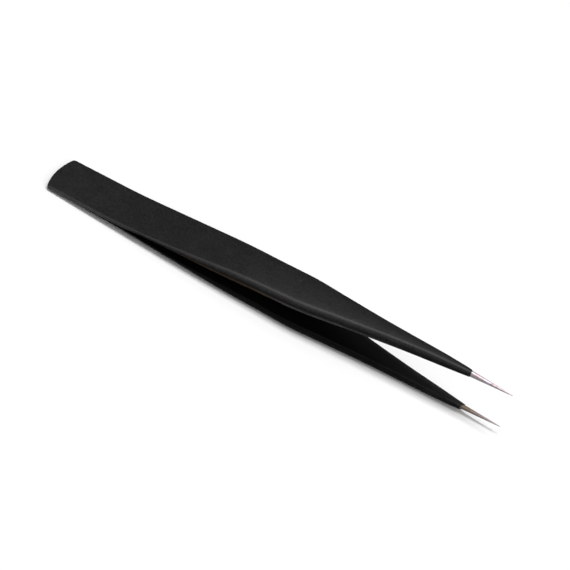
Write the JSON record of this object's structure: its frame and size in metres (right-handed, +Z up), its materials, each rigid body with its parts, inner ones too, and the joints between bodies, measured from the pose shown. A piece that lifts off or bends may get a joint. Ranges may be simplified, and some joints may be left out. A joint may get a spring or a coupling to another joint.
{
  "type": "precision tweezers",
  "caption": "Straight fine-point precision tweezers: sprung steel leaves welded at a flat tail, black coating, bare needle points",
  "frame": {"origin": "on the table under the middle of the bounding box, with the pair lying on the flat belly of its lower arm", "axes": "+X from the tail to the needle points, +Y across the leaves, +Z up from the table, in the direction that the arms part"},
  "size_m": [0.1202, 0.0126, 0.0129],
  "materials": {
    "steel": "ground and polished stainless steel",
    "weld": "raw spot weld",
    "coating": "matte black dipped coating"
  },
  "bodies": {
    "tail": {"tail_coating": "coating", "upper_leaf_tail": "steel", "lower_leaf_tail": "steel", "rear_spot_weld": "weld", "front_spot_weld": "weld"},
    "upper_arm": {"upper_leaf_spring": "steel", "upper_spring_coating": "coating", "upper_leaf_arm": "steel", "upper_arm_coating": "coating"},
    "lower_arm": {"lower_leaf_spring": "steel", "lower_spring_coating": "coating", "lower_leaf_arm": "steel", "lower_arm_coating": "coating"}
  },
  "joints": [
    {"name": "upper_arm_flex", "type": "hinge", "parent": "tail", "child": "upper_arm", "pos_m": [-0.02119, 0, 0.0046], "axis": [0, 1, 0], "range_deg": [0, 3.57], "stiffness_Nm_per_rad": 1.1, "deforming": ["upper_leaf_spring", "upper_spring_coating"]},
    {"name": "lower_arm_flex", "type": "hinge", "parent": "tail", "child": "lower_arm", "pos_m": [-0.021, 0, 0.00121], "axis": [0, -1, 0], "range_deg": [0, 3.57], "stiffness_Nm_per_rad": 1.1, "deforming": ["lower_leaf_spring", "lower_spring_coating"]}
  ]
}
